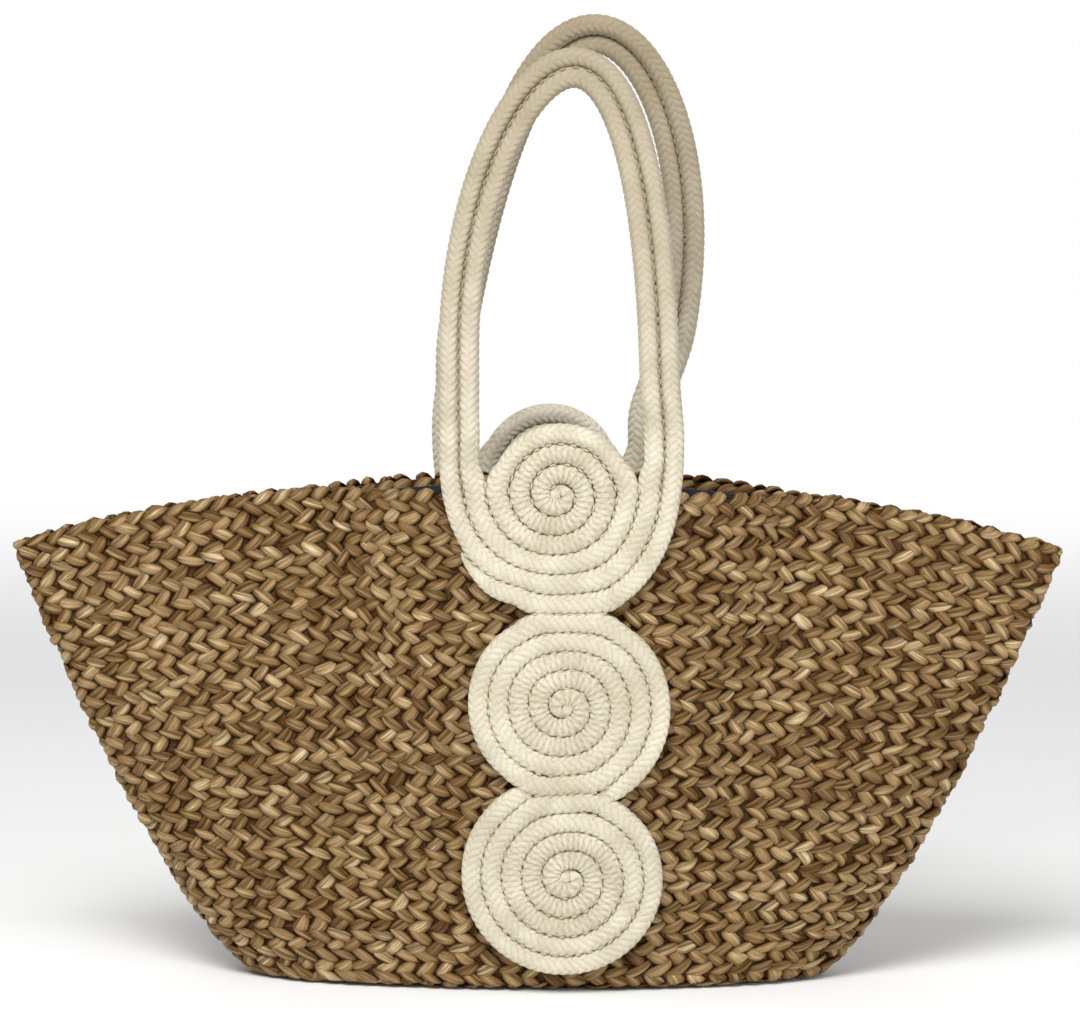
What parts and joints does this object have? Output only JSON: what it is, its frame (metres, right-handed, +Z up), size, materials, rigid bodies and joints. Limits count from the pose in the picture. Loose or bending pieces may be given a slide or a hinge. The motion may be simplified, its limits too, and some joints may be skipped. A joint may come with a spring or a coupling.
{
  "type": "straw handbag",
  "caption": "Braided straw tote with a flared, pinched mouth, a cloth lining, rope loop handles and coiled rope medallions on both faces.",
  "frame": {"origin": "middle of the base, on the surface that the bag stands on", "axes": "+X to the right along the mouth, -Y out of the front, +Z up"},
  "size_m": [0.516, 0.1352, 0.4716],
  "materials": {
    "straw": "braided plant straw, natural tan with brown gaps",
    "straw_rim": "braided straw edge course",
    "cotton_rope": "braided cream cotton rope, matte",
    "lining_cloth": "plain woven cotton, charcoal navy",
    "snap_metal": "brushed pale brass"
  },
  "bodies": {
    "bag": {"base_braid": "straw", "foot_wall_braid": "straw", "lower_wall_braid": "straw", "upper_wall_braid": "straw", "top_wall_braid": "straw", "rim_braid": "straw_rim", "lining_wall": "lining_cloth", "lining_base": "lining_cloth", "slip_pocket": "lining_cloth", "snap_patch_front": "lining_cloth", "snap_patch_rear": "lining_cloth", "snap_cup": "snap_metal", "snap_peg": "snap_metal", "front_top_coil": "cotton_rope", "front_leg_wrap": "cotton_rope", "front_neck_rope": "cotton_rope", "front_middle_coil": "cotton_rope", "front_bottom_coil": "cotton_rope", "rear_top_coil": "cotton_rope", "rear_leg_wrap": "cotton_rope", "rear_neck_rope": "cotton_rope", "rear_middle_coil": "cotton_rope", "rear_bottom_coil": "cotton_rope"},
    "front_handle": {"front_handle_inner_rope": "cotton_rope", "front_handle_outer_rope": "cotton_rope"},
    "rear_handle": {"rear_handle_inner_rope": "cotton_rope", "rear_handle_outer_rope": "cotton_rope"}
  },
  "joints": [
    {"name": "front_handle_fold", "type": "hinge", "parent": "bag", "child": "front_handle", "pos_m": [0, -0.05701, 0.262], "axis": [1, 0, 0], "range_deg": [0, 160]},
    {"name": "rear_handle_fold", "type": "hinge", "parent": "bag", "child": "rear_handle", "pos_m": [0, 0.05747, 0.262], "axis": [-1, 0, 0], "range_deg": [0, 160]}
  ]
}
